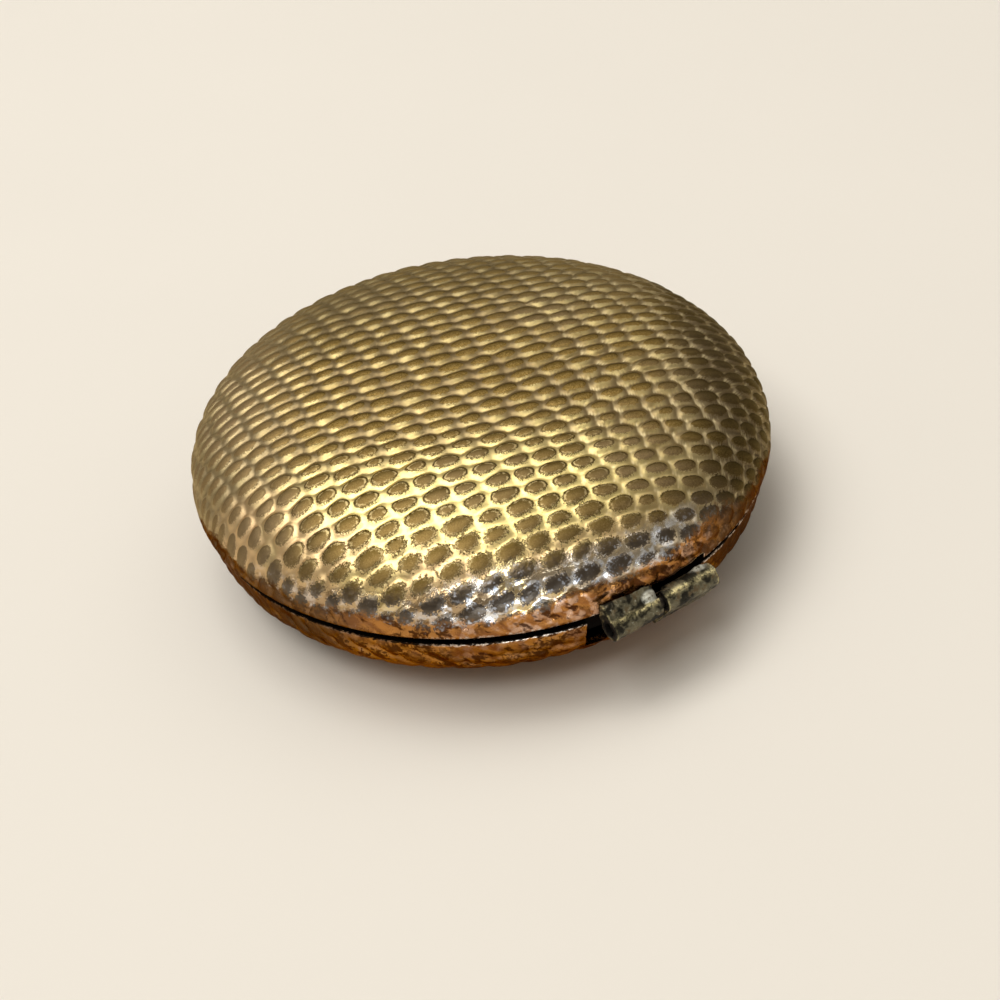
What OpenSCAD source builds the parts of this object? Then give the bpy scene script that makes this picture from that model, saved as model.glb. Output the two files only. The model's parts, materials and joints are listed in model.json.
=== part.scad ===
// Round hinged mirror case. Each half is a pebble-shaped shell pressed from thin sheet, with a
// flat inner frame that holds a mirror. Sizes are millimetres. The case stands on its flat foot
// at z = 0, with the hinge at the back (+Y) and the catch at the front (-Y).

/* [Case] */
// Greatest width of the lid
case_d = 64; // [60:1:80]
// Rise of the lid above the seam
lid_rise = 11.5; // [10:0.5:15]
// Height of the lid's widest line above the seam
lid_bulge_h = 1; // [0.6:0.1:1.4]
// How far the lid draws in from its widest line down to its edge
lid_draw_in = 0.45; // [0.3:0.05:0.6]
// Depth of the base below the seam
base_depth = 9; // [8:0.5:12]
// How far the base's edge lies inside the lid's widest line
base_set_in = 0.65; // [0.5:0.05:0.9]
// Width of the flat foot
foot_d = 32; // [24:1:38]
// Thickness of the pressed sheet
wall = 0.6; // [0.5:0.1:0.8]
// Thickness of the lid's folded edge
lid_hem = 0.65; // [0.6:0.05:0.7]
// Thickness of the base's folded edge
base_hem = 0.85; // [0.8:0.05:0.95]
// Open gap between the two edges at the seam
seam_gap = 0.7; // [0.5:0.05:0.8]

/* [Inner frames] */
// Thickness of the frames' sheet
frame_sheet = 0.5; // [0.4:0.05:0.6]
// Height of the lid frame's face above the seam
lid_face_rise = 1; // [0.9:0.05:1.2]
// Height of the lid frame's outer band
lid_band_h = 2.4; // [1.5:0.1:3]
// Depth of the base frame's face below the seam
base_face_drop = 0.5; // [0.4:0.05:0.6]
// Height of the base frame's standing band above the seam
band_stand = 0.6; // [0.5:0.05:0.7]
// Depth of the base frame's band below the seam
band_drop = 2.2; // [1.9:0.1:2.6]
// Width of the base frame's face, from its band to the mirror's recess
frame_face_w = 2.95; // [2.85:0.1:5.35]
// Width of the ledge that each mirror rests on
ledge_w = 5; // [3:0.5:8]
// Gap left for solder between a frame and its shell
solder_gap = 0.05; // [0.03:0.01:0.08]

/* [Mirrors] */
// Thickness of the plain glass
mirror_t = 1.2; // [1:0.1:1.5]
// Edge thickness of the magnifying glass
magnifier_t = 1.8; // [1.6:0.1:2]
// Depth of the hollow in the magnifying glass
magnifier_sag = 0.7; // [0.4:0.1:0.9]
// Bevel at the edge of each glass
glass_bevel = 0.25; // [0.15:0.05:0.35]
// Thickness of the backing cards
card_t = 0.4; // [0.3:0.1:0.6]
// Width of the bezels
bezel_w = 1.1; // [0.9:0.1:1.5]
// Thickness of the bezels
bezel_t = 0.5; // [0.4:0.05:0.6]
// Gap round a glass, a card or a bezel in its recess
seat_gap = 0.1; // [0.05:0.01:0.15]

/* [Hinge] */
// Distance of the hinge pin outside the base's edge
pin_out = 1.5; // [1.45:0.05:1.7]
// Depth of the hinge pin below the seam
pin_drop = 0; // [0:0.05:0.4]
// Outer width of the rolled knuckles
knuckle_d = 2.6; // [2.4:0.1:2.8]
// Length of the lid's knuckle
lid_knuckle_l = 5.8; // [5:0.1:7]
// Length of the base's knuckle
base_knuckle_l = 6.4; // [5:0.1:7]
// Distance of the gap between the knuckles from the case's middle
hinge_split = 0.7; // [0:0.1:1]
// Gap between the two knuckles
knuckle_gap = 0.5; // [0.3:0.1:0.8]
// Width of the hinge pin
pin_d = 1.2; // [0.9:0.1:1.4]
// How far each end of the pin lies inside its knuckle
pin_inset = 0.5; // [0.3:0.1:0.8]
// Radial clearance of the pin in the lid's knuckle
running_gap = 0.05; // [0.03:0.01:0.08]
// Radial clearance of the pin in the base's knuckle, where it is fixed
fixed_gap = 0.02; // [0.01:0.01:0.03]
// Height of the lid leaf's top above the seam
leaf_rise = 2.2; // [2:0.1:3]
// Depth of the base leaf's foot below the seam
leaf_drop = 3.9; // [3.4:0.1:4.5]
// How far the lid leaf stands off the widest line at its top
leaf_stand = 0.35; // [0.25:0.05:0.5]
// Length of the stop tooth on the end of the lid's knuckle
tooth_l = 1.2; // [1:0.1:1.5]
// Clearance round the stop tooth in the base's knuckle
tooth_gap = 0.2; // [0.15:0.05:0.25]
// Angle at which the lid stops
open_angle = 120; // [100:5:120]
// Depth of the notch in the base's edge, below the seam
base_notch_h = 4; // [3.8:0.1:4.5]
// Free width beside the lid's knuckle in that notch
base_notch_side = 1.1; // [0.3:0.1:1.5]
// Clearance over the base's knuckle in the lid's notch
lid_notch_gap = 0.25; // [0.15:0.05:0.4]
// Free width at the other end of each notch
notch_end = 0.2; // [0.15:0.05:0.25]

/* [Catch] */
// Width of the thumb piece
thumb_w = 8; // [7:0.5:9]
// Height of the thumb piece
thumb_h = 1.7; // [1.5:0.1:1.9]
// Depth of the thumb piece's top below the seam
thumb_drop = 1.3; // [1.25:0.05:1.5]
// How far the thumb piece stands out of the base's edge
thumb_out = 0.65; // [0.5:0.05:1]
// Travel of the thumb piece
thumb_travel = 0.8; // [0.6:0.1:0.9]
// Width of the thumb piece's shank
shank_w = 6.4; // [5.5:0.1:6.6]
// Width of the upright that carries the catch's nose
upright_w = 6; // [4:0.5:6]
// Thickness of that upright
upright_t = 0.6; // [0.5:0.05:0.7]
// Height of the nose's underside above the seam
nose_rise = 0.2; // [0.15:0.05:0.25]
// Height of the nose
nose_h = 0.5; // [0.4:0.05:0.55]
// Height of the upright nib at the nose's tip
nose_tip_h = 0.15; // [0.1:0.05:0.2]
// How far the nose bites over the keeper's lip
bite = 0.3; // [0.2:0.05:0.35]
// Clearance round the catch's moving parts
catch_gap = 0.3; // [0.25:0.05:0.35]
// Clearance between the nose's tip and the keeper
nose_gap = 0.25; // [0.2:0.05:0.3]
// Thickness of the keeper's sheet
keeper_sheet = 0.4; // [0.3:0.05:0.45]
// Width of the keeper
keeper_w = 5.6; // [4:0.2:6]
// Depth of the keeper's lip below the seam
keeper_drop = 0.35; // [0.3:0.05:0.4]
// Thickness of the bracket that guides the thumb piece
bracket_sheet = 0.4; // [0.3:0.05:0.5]
// Width of the bracket
bracket_w = 13.2; // [12.8:0.2:14]
// Width of each foot of the bracket
bracket_foot = 2; // [1.8:0.1:2.2]
// Sliding clearance between the bracket and the thumb piece
slide_gap = 0.15; // [0.1:0.05:0.2]
// Width of the rivets' shanks
rivet_d = 0.9; // [0.7:0.1:1]
// Width of the rivets' heads
rivet_head_d = 1.6; // [1.4:0.1:1.7]
// Thickness of the rivets' heads
rivet_head_t = 0.25; // [0.2:0.05:0.3]
// Radial clearance of the rivets in their holes
rivet_gap = 0.02; // [0.01:0.01:0.04]
// Gap between each end of the bowed leaf spring and the bracket's foot
spring_end_gap = 0.6; // [0.4:0.1:1.5]
// Width of the spring's strip
spring_w = 1; // [0.8:0.1:1.1]
// Thickness of the spring's strip
spring_t = 0.2; // [0.15:0.05:0.25]
// Gap between the spring's crown and the upright
spring_gap = 0.02; // [0.01:0.01:0.05]

/* [Hidden] */

// One overrun for every cut
over = 2;
// Roundness exponents of the domed lid, across and up
lid_across = 3;
lid_up = 2.4;
// Roundness exponents of the base's flank, across and up
base_across = 2;
base_up = 3;
// Steps along each domed outline
outline_steps = 24;
// Facets of full turns and of small round parts
turn_fn = 120;
small_fn = 40;
// Direction, from the pin, in which each leaf leaves its knuckle
leaf_angle = 40;

case_r = case_d/2;
foot_r = foot_d/2;
seam_z = base_depth;
lid_edge_r = case_r - lid_draw_in;
base_r = case_r - base_set_in;
lid_bore_r = lid_edge_r - lid_hem;
base_bore_r = base_r - base_hem;
lid_fit_r = lid_bore_r - solder_gap;
band_r = base_bore_r - solder_gap;
band_in_r = band_r - frame_sheet;
recess_r = band_in_r - frame_face_w;
ledge_r = recess_r - ledge_w;
recess_out_r = recess_r + frame_sheet;

lid_face_z = seam_z + lid_face_rise;
lid_floor_z = lid_face_z + bezel_t + mirror_t + card_t;
base_face_z = seam_z - base_face_drop;
base_floor_z = base_face_z - bezel_t - magnifier_t - card_t;

pin_y = base_r + pin_out;
pin_z = seam_z - pin_drop;
knuckle_r = knuckle_d/2;
pin_r = pin_d/2;
lid_knuckle_x = hinge_split + knuckle_gap/2;
base_knuckle_x = hinge_split - knuckle_gap/2;
lid_end_x = lid_knuckle_x + lid_knuckle_l;
base_end_x = base_knuckle_l - base_knuckle_x;
lid_notch_h = knuckle_r - pin_drop + lid_notch_gap;
base_notch_x = base_knuckle_x + notch_end;
base_notch_w = lid_end_x + base_notch_side - base_notch_x;
// The stop tooth starts at tooth_from, is tooth_turn wide, and is stopped tooth_lead past open_angle
tooth_from = 230;
tooth_turn = 40;
tooth_lead = 5;

// The catch is laid out inwards from the keeper
keeper_in_r = lid_fit_r - keeper_sheet;
nose_r = keeper_in_r - nose_gap;
lip_r = nose_r - bite;
catch_r = lip_r - catch_gap;
upright_in_r = catch_r - upright_t;
thumb_top_z = seam_z - thumb_drop;
thumb_low_z = thumb_top_z - thumb_h;
catch_notch_w = thumb_w + 2*catch_gap;
catch_notch_z = thumb_low_z - catch_gap;
bracket_top_z = thumb_low_z - slide_gap;
bracket_low_z = bracket_top_z - bracket_sheet;
rivet_x = bracket_w/2 - bracket_foot/2;
spring_l = bracket_w - 2*bracket_foot - 2*spring_end_gap;
rivet_ring_r = (recess_out_r + band_in_r)/2;
rivet_y = -sqrt(rivet_ring_r*rivet_ring_r - rivet_x*rivet_x);
flange_low_z = base_face_z - frame_sheet;

// Quarter outline of a dome, from its edge to its crown, as [across, up] points. Below low_r
// the crown is flat.
function dome(low_r, edge_r, low_z, top_z, e_across, e_up) = [
    for (i = [0:outline_steps])
        let (t = 90*i/outline_steps)
        [low_r + (edge_r - low_r)*pow(cos(t), 2/e_across), low_z + (top_z - low_z)*pow(sin(t), 2/e_up)]
];

// Outside of the lid, from its edge to its crown, grown by g all over
function lid_outside(g) = concat(
    [[lid_edge_r + g, seam_z + seam_gap/2 - g]],
    dome(0, case_r + g, seam_z + lid_bulge_h, seam_z + lid_rise + g, lid_across, lid_up)
);

// Outside of the base, from its edge to its foot, grown by g all over
function base_outside(g) = concat(
    dome(foot_r, base_r + g, seam_z - seam_gap/2 + g, -g, base_across, base_up),
    [[0, -g]]
);

// Points of a list in the opposite order
function backwards(points) = [for (i = [len(points) - 1:-1:0]) points[i]];

// Points held within a bore
function bored(points, bore_r) = [for (p = points) [min(p[0], bore_r), p[1]]];

module turned(points) {
    rotate_extrude($fn = turn_fn) polygon(points);
}

module lid_shell() {
    inside = bored(
        dome(0, case_r - wall, seam_z + lid_bulge_h, seam_z + lid_rise - wall, lid_across, lid_up),
        lid_bore_r
    );
    color("darkkhaki") difference() {
        turned(concat(
            lid_outside(0),
            backwards(inside),
            [[lid_bore_r, seam_z + seam_gap/2]]
        ));
        // Notch over the base's knuckle
        translate([-base_end_x - notch_end, base_bore_r - over, seam_z - over])
            cube([base_end_x + lid_knuckle_x, 2*over + pin_out, over + lid_notch_h]);
    }
}

module base_shell() {
    inside = bored(
        dome(foot_r, base_r - wall, seam_z - seam_gap/2, wall, base_across, base_up),
        base_bore_r
    );
    color("darkgoldenrod") difference() {
        turned(concat(
            base_outside(0),
            [[0, wall]],
            backwards(inside),
            [[base_bore_r, seam_z - seam_gap/2]]
        ));
        // Notch that the lid's knuckle and leaf hang in
        translate([base_notch_x, band_r - over, seam_z - base_notch_h])
            cube([base_notch_w, 2*over + pin_out, base_notch_h + over]);
        catch_notch(catch_notch_z, band_in_r);
    }
}

// Slot at the front, open at the top, that the thumb piece slides in as far as in_r
module catch_notch(low_z, in_r) {
    translate([-catch_notch_w/2, -case_r - over, low_z])
        cube([catch_notch_w, case_r + over - in_r, seam_z + over - low_z]);
}

module lid_frame() {
    color("gold") turned([
        [lid_fit_r, lid_face_z],
        [lid_fit_r, lid_face_z + lid_band_h],
        [lid_fit_r - frame_sheet, lid_face_z + lid_band_h],
        [lid_fit_r - frame_sheet, lid_face_z + frame_sheet],
        [recess_out_r, lid_face_z + frame_sheet],
        [recess_out_r, lid_floor_z + frame_sheet],
        [ledge_r, lid_floor_z + frame_sheet],
        [ledge_r, lid_floor_z],
        [recess_r, lid_floor_z],
        [recess_r, lid_face_z]
    ]);
}

module base_frame() {
    slot_w = upright_w + 2*catch_gap;
    slot_in_r = upright_in_r - thumb_travel - catch_gap;
    color("gold") difference() {
        turned([
            [band_r, seam_z + band_stand],
            [band_in_r, seam_z + band_stand],
            [band_in_r, base_face_z],
            [recess_r, base_face_z],
            [recess_r, base_floor_z],
            [ledge_r, base_floor_z],
            [ledge_r, base_floor_z - frame_sheet],
            [recess_out_r, base_floor_z - frame_sheet],
            [recess_out_r, flange_low_z],
            [band_in_r, flange_low_z],
            [band_in_r, seam_z - band_drop],
            [band_r, seam_z - band_drop]
        ]);
        catch_notch(seam_z - band_drop - over, band_r - thumb_travel - catch_gap);
        // Slot for the upright
        translate([-slot_w/2, -band_r - over, flange_low_z - over])
            cube([slot_w, band_r + over - slot_in_r, frame_sheet + 2*over]);
        for (side = [-1, 1])
            translate([side*rivet_x, rivet_y, flange_low_z - over])
            cylinder(r = rivet_d/2 + rivet_gap, h = frame_sheet + 2*over, $fn = small_fn);
    }
}

// Plain glass, face down, bevelled at its front edge
module lid_mirror() {
    glass_r = recess_r - seat_gap;
    low_z = lid_face_z + bezel_t;
    color("lightblue") turned([
        [0, low_z],
        [glass_r - glass_bevel, low_z],
        [glass_r, low_z + glass_bevel],
        [glass_r, low_z + mirror_t],
        [0, low_z + mirror_t]
    ]);
}

// Magnifying glass, face up, with a shallow hollow worked into its face
module base_mirror() {
    glass_r = recess_r - seat_gap;
    hollow_r = glass_r - bezel_w;
    top_z = base_face_z - bezel_t;
    hollow = [
        for (i = [0:outline_steps])
            let (share = i/outline_steps)
            [hollow_r*share, top_z - magnifier_sag*(1 - share*share)]
    ];
    color("lightblue") turned(concat(
        hollow,
        [
            [glass_r - glass_bevel, top_z],
            [glass_r, top_z - glass_bevel],
            [glass_r, top_z - magnifier_t],
            [0, top_z - magnifier_t]
        ]
    ));
}

module card(low_z) {
    color("saddlebrown") translate([0, 0, low_z])
        cylinder(r = recess_r - seat_gap, h = card_t, $fn = turn_fn);
}

module lid_mirror_card() {
    card(lid_floor_z - card_t);
}

module base_mirror_card() {
    card(base_floor_z);
}

// Bezel with its sloping inner edge, set flush in a frame's face; up is 1 or -1
module bezel(face_z, up) {
    outer_r = recess_r - seat_gap;
    color("khaki") turned([
        [outer_r, face_z],
        [outer_r, face_z - up*bezel_t],
        [outer_r - bezel_w, face_z - up*bezel_t],
        [outer_r - bezel_w + bezel_t, face_z]
    ]);
}

module lid_mirror_ring() {
    bezel(lid_face_z, -1);
}

module base_mirror_ring() {
    bezel(base_face_z, 1);
}

// A shape drawn across the hinge, as [out, up] points, run along X from x0 for length l
module along_hinge(x0, l, points) {
    translate([x0, 0, 0]) rotate([90, 0, 90]) linear_extrude(height = l) polygon(points);
}

module pin_round(x0, l, r) {
    translate([x0, pin_y, pin_z]) rotate([0, 90, 0]) cylinder(r = r, h = l, $fn = small_fn);
}

// Wedge round the pin, from one angle above +Y through a turn, over the hinge's whole length
module pin_wedge(from, turn) {
    translate([0, pin_y, pin_z]) along_hinge(-base_end_x, base_end_x + lid_end_x, concat([[0, 0]], [
        for (i = [0:4]) 2*knuckle_d*[cos(from + i*turn/4), sin(from + i*turn/4)]
    ]));
}

module hinge_lid_leaf() {
    tangent = [pin_y + knuckle_r*cos(leaf_angle), pin_z + knuckle_r*sin(leaf_angle)];
    color("dimgray") difference() {
        union() {
            pin_round(lid_knuckle_x, lid_knuckle_l, knuckle_r);
            along_hinge(lid_knuckle_x, lid_knuckle_l, [
                [base_bore_r - solder_gap, seam_z + leaf_rise],
                [case_r + leaf_stand, seam_z + leaf_rise],
                tangent,
                [pin_y, pin_z],
                [lid_edge_r - solder_gap, seam_z]
            ]);
            // Tooth on the knuckle's end, which turns in a slot of the base's knuckle
            intersection() {
                pin_round(lid_knuckle_x - tooth_l, tooth_l + over, knuckle_r);
                pin_wedge(tooth_from, tooth_turn);
            }
        }
        turned(concat(lid_outside(solder_gap), [[0, seam_z + seam_gap/2 - solder_gap]]));
        pin_round(lid_knuckle_x - tooth_l - over, tooth_l + lid_knuckle_l + 2*over, pin_r + running_gap);
    }
}

module hinge_base_leaf() {
    tangent = [pin_y + knuckle_r*cos(leaf_angle), pin_z - knuckle_r*sin(leaf_angle)];
    color("darkslategray") difference() {
        union() {
            pin_round(-base_end_x, base_knuckle_l, knuckle_r);
            along_hinge(-base_end_x, base_knuckle_l, [
                [base_r, seam_z - seam_gap/2],
                [pin_y, pin_z],
                tangent,
                [base_r + leaf_stand, seam_z - leaf_drop],
                [base_bore_r - solder_gap, seam_z - leaf_drop]
            ]);
        }
        turned(concat([[0, seam_z - seam_gap/2 + solder_gap]], base_outside(solder_gap)));
        pin_round(-base_end_x - over, base_knuckle_l + 2*over, pin_r + fixed_gap);
        // Slot for the lid's stop tooth, whose upper end stops the tooth
        intersection() {
            pin_round(lid_knuckle_x - tooth_l - tooth_gap, tooth_l + tooth_gap, knuckle_r + tooth_gap);
            pin_wedge(tooth_from - open_angle - tooth_lead, open_angle + tooth_turn + 2*tooth_lead);
        }
    }
}

module hinge_pin() {
    color("silver") pin_round(pin_inset - base_end_x, base_end_x + lid_end_x - 2*pin_inset, pin_r);
}

// Bent plate soldered inside the lid's edge, with a lip turned in under the catch's nose
module catch_keeper() {
    lip_top_z = seam_z - keeper_drop + keeper_sheet;
    color("goldenrod") intersection() {
        turned([
            [lid_fit_r, seam_z - keeper_drop],
            [lid_fit_r, lid_face_z - solder_gap],
            [keeper_in_r, lid_face_z - solder_gap],
            [keeper_in_r, lip_top_z],
            [lip_r, lip_top_z],
            [lip_r, seam_z - keeper_drop]
        ]);
        translate([-keeper_w/2, -case_r, seam_z - keeper_drop - over])
            cube([keeper_w, case_r/2, lid_face_rise + keeper_drop + 2*over]);
    }
}

// Guide under the frame's face: a floor under the thumb piece and a foot at each end
module catch_bracket() {
    color("peru") difference() {
        intersection() {
            turned([
                [recess_out_r + seat_gap, bracket_low_z],
                [band_in_r - seat_gap, bracket_low_z],
                [band_in_r - seat_gap, flange_low_z],
                [recess_out_r + seat_gap, flange_low_z]
            ]);
            translate([-bracket_w/2, -case_r, bracket_low_z])
                cube([bracket_w, case_r/2, flange_low_z - bracket_low_z]);
        }
        translate([-bracket_w/2 + bracket_foot, -case_r, bracket_top_z])
            cube([bracket_w - 2*bracket_foot, case_r/2, flange_low_z - bracket_top_z + over]);
        for (side = [-1, 1])
            translate([side*rivet_x, rivet_y, bracket_low_z - over])
            cylinder(r = rivet_d/2 + rivet_gap, h = flange_low_z - bracket_low_z + 2*over, $fn = small_fn);
    }
}

module catch_rivets() {
    color("silver") for (side = [-1, 1]) translate([side*rivet_x, rivet_y, 0])
        rotate_extrude($fn = small_fn) polygon([
            [0, bracket_low_z - rivet_head_t],
            [rivet_head_d/2, bracket_low_z - rivet_head_t],
            [rivet_head_d/2, bracket_low_z],
            [rivet_d/2, bracket_low_z],
            [rivet_d/2, base_face_z],
            [rivet_head_d/2, base_face_z],
            [rivet_head_d/2, base_face_z + rivet_head_t],
            [0, base_face_z + rivet_head_t]
        ]);
}

// Bowed strip with its crown against the upright and its ends at the recess wall
module catch_spring() {
    crown_r = upright_in_r - spring_gap;
    rise = crown_r - recess_out_r;
    bow_r = (spring_l*spring_l/4 + rise*rise)/(2*rise);
    mid_z = (thumb_top_z + thumb_low_z)/2;
    color("lightsteelblue") intersection() {
        translate([0, bow_r - crown_r, mid_z - spring_w/2]) difference() {
            cylinder(r = bow_r, h = spring_w, $fn = turn_fn);
            translate([0, 0, -over])
                cylinder(r = bow_r - spring_t, h = spring_w + 2*over, $fn = turn_fn);
        }
        translate([-spring_l, -case_r, mid_z - spring_w])
            cube([2*spring_l, case_r - recess_out_r, 2*spring_w]);
    }
}

// Sliding catch in one piece: the part that shows, its shank, its upright and its nose
module thumb_piece() {
    nose_z = seam_z + nose_rise;
    color("khaki") union() {
        intersection() {
            cylinder(r = base_r + thumb_out, h = case_d, $fn = turn_fn);
            translate([-thumb_w/2, -case_r - over, thumb_low_z])
                cube([thumb_w, case_r + over - band_r, thumb_h]);
        }
        translate([-shank_w/2, -band_r - wall, thumb_low_z])
            cube([shank_w, band_r + wall - upright_in_r, thumb_h]);
        translate([-upright_w/2, -catch_r, thumb_low_z])
            cube([upright_w, upright_t, nose_z + nose_h - thumb_low_z]);
        // Nose, sloped on top so that the closing lid pushes it in
        translate([-keeper_w/2, 0, 0]) rotate([90, 0, 90]) linear_extrude(height = keeper_w) polygon([
            [-upright_in_r, nose_z],
            [-upright_in_r, nose_z + nose_h],
            [-catch_r, nose_z + nose_h],
            [-nose_r, nose_z + nose_tip_h],
            [-nose_r, nose_z]
        ]);
    }
}

lid_shell();
lid_frame();
lid_mirror();
lid_mirror_card();
lid_mirror_ring();
hinge_lid_leaf();
catch_keeper();
base_shell();
base_frame();
base_mirror();
base_mirror_card();
base_mirror_ring();
hinge_base_leaf();
hinge_pin();
catch_bracket();
catch_spring();
catch_rivets();
thumb_piece();
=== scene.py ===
# %% [markdown]
# A pocket mirror in gilded sheet metal
#
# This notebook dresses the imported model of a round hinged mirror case. On the real case both
# halves are pressed from thin sheet that was embossed with a lizard-skin grain, then gilded, and
# years in a bag have rubbed and tarnished it. The two shells and the two hinge leaves carry the
# look, so they are built anew here. The frames, the glasses and the catch keep their engineering
# shape and get rounded edges and a finish. Blender counts in metres, and MM turns the sizes that
# are written in millimetres.

# %% Load the frame
import json
import math
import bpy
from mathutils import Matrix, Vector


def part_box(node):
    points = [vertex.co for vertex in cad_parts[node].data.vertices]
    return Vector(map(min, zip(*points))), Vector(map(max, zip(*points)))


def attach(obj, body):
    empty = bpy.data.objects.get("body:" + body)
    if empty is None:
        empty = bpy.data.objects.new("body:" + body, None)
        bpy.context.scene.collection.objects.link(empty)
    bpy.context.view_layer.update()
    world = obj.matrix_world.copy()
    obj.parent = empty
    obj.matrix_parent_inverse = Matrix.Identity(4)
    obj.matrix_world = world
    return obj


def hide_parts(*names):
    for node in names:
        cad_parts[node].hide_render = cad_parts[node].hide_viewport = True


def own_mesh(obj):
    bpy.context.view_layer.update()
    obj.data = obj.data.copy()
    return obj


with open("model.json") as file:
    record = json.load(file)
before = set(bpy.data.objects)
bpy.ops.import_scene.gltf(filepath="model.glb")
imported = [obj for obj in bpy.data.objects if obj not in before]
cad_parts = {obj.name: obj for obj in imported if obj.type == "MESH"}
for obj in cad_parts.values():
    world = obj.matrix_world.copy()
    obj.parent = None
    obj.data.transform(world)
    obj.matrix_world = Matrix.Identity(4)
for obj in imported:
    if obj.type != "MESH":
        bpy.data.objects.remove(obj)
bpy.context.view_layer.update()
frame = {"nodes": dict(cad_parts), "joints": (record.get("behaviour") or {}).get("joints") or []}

from types import SimpleNamespace

import bpy
import numpy as np

MM = 0.001

# %% [markdown]
# The camera comes first, because every later choice is judged through it. It looks down from
# about 37 degrees above the floor, from beside the hinge, and stands less than three widths of
# the case away, so the near rim looks clearly larger.

# %% The camera
camera_spot = (65.09 * MM, 117.42 * MM, 109.81 * MM)
camera_turn = (50.66, 5.022, 146.267)
lens_length = 54.0
sensor_width = 36.0
# Direction from the case to the camera, seen from above, counted from the X axis
view_turn = math.atan2(camera_spot[1], camera_spot[0])

bpy.ops.object.camera_add(location=camera_spot, rotation=[math.radians(a) for a in camera_turn])
camera = bpy.context.object
camera.name = "view_camera"
camera.data.lens = lens_length
camera.data.sensor_width = sensor_width
camera.data.clip_start = 10 * MM
bpy.context.scene.camera = camera
print("camera at", [round(c, 4) for c in camera.location])

# %% [markdown]
# A metal shell shows its surroundings more than its own colour, so the stage is made before the
# case. It is a wide pale floor whose far rim curves up into a low cove: the face of a disc is
# extruded and widened in small steps, and the last face is deleted, which leaves it open above.

# %% The stage
floor_r = 2.6
floor_sides = 96
cove_r = 0.9
cove_steps = 10
floor_colour = (0.83, 0.79, 0.73)

bpy.ops.mesh.primitive_circle_add(vertices=floor_sides, radius=floor_r, fill_type="NGON")
studio = bpy.context.object
studio.name = "studio_floor"
bpy.ops.object.mode_set(mode="EDIT")
bpy.ops.mesh.select_all(action="SELECT")
radius, height = floor_r, 0.0
for step in range(1, cove_steps + 1):
    a = math.pi / 2 * step / cove_steps
    next_r = floor_r + cove_r * math.sin(a)
    next_h = cove_r * (1 - math.cos(a))
    bpy.ops.mesh.extrude_region_move(TRANSFORM_OT_translate={"value": (0, 0, next_h - height)})
    widen = next_r / radius
    bpy.ops.transform.resize(value=(widen, widen, 1), center_override=(0, 0, next_h))
    radius, height = next_r, next_h
bpy.ops.mesh.delete(type="ONLY_FACE")
bpy.ops.object.mode_set(mode="OBJECT")
bpy.ops.object.shade_smooth_by_angle(angle=math.radians(30))
print("stage faces", len(studio.data.polygons))

# %% [markdown]
# The world is an even warm grey, which is what much of the dome mirrors. Five lamps are panels of
# light for the metal. The sky lamp, high on the left, makes the glints there. The pool lamp, high
# at the far side, makes the bright pool on the near slope. Two faint wide panels fill in, and a
# cool low lamp, like a window behind the viewer, makes the silvery sparks along the near rim.


# %% The lamps
def soft_lamp(name, turn, height, distance, size, brightness, colour):
    """A rectangular lamp that faces the case, turned from the camera's side and raised by so many
    degrees; brightness is what its face shows, 1 being white."""
    a = view_turn + math.radians(turn)
    level = math.cos(math.radians(height)) * distance
    spot = (math.cos(a) * level, math.sin(a) * level, math.sin(math.radians(height)) * distance)
    bpy.ops.object.light_add(type="AREA", location=spot)
    lamp = bpy.context.object
    lamp.name = name
    lamp.data.shape = "RECTANGLE"
    lamp.data.size, lamp.data.size_y = size
    lamp.data.energy = brightness * math.pi * size[0] * size[1]
    lamp.data.color = colour
    away = lamp.location.to_track_quat("Z", "Y")
    lamp.rotation_euler = away.to_euler()
    lamp.visible_camera = False
    print(name, [round(c, 3) for c in spot], "power", round(lamp.data.energy, 3))
    return lamp


soft_lamp("sky_lamp", -70, 63, 1.4, (1.24, 0.72), 3.6, (1.0, 0.98, 0.94))
soft_lamp("pool_lamp", -148, 71, 1.8, (0.88, 0.8), 3.35, (1.0, 0.99, 0.94))
soft_lamp("ceiling_panel", -165, 68, 2.0, (1.6, 1.6), 0.78, (1.0, 0.97, 0.92))
soft_lamp("right_panel", 135, 48, 2.0, (1.4, 1.0), 0.62, (1.0, 0.98, 0.94))
window_lamp = soft_lamp("window_lamp", 8, 8, 0.75, (0.34, 0.12), 6.6, (0.8, 0.9, 1.0))
# The low window would burn a bright spot into the floor, so the floor doesn't take its light
unlit = bpy.data.collections.new("unlit_by_window")
unlit.objects.link(studio)
unlit.collection_objects[0].light_linking.link_state = "EXCLUDE"
window_lamp.light_linking.receiver_collection = unlit

# %% The room
room_colour = (0.3, 0.275, 0.235, 1)

world = bpy.data.worlds.new("room")
world.use_nodes = True
background = world.node_tree.nodes["Background"]
background.inputs["Color"].default_value = room_colour
background.inputs["Strength"].default_value = 1.0
bpy.context.scene.world = world
bpy.context.scene.view_settings.view_transform = "Standard"
print("room colour", room_colour)

# %% [markdown]
# Next come short helpers. Each finish below is a graph of nodes, so one class holds the material
# and adds a node in one call. Every pattern reads Object coordinates or a value that was stored
# on the mesh, so it stays on the metal when the lid swings open.


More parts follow.
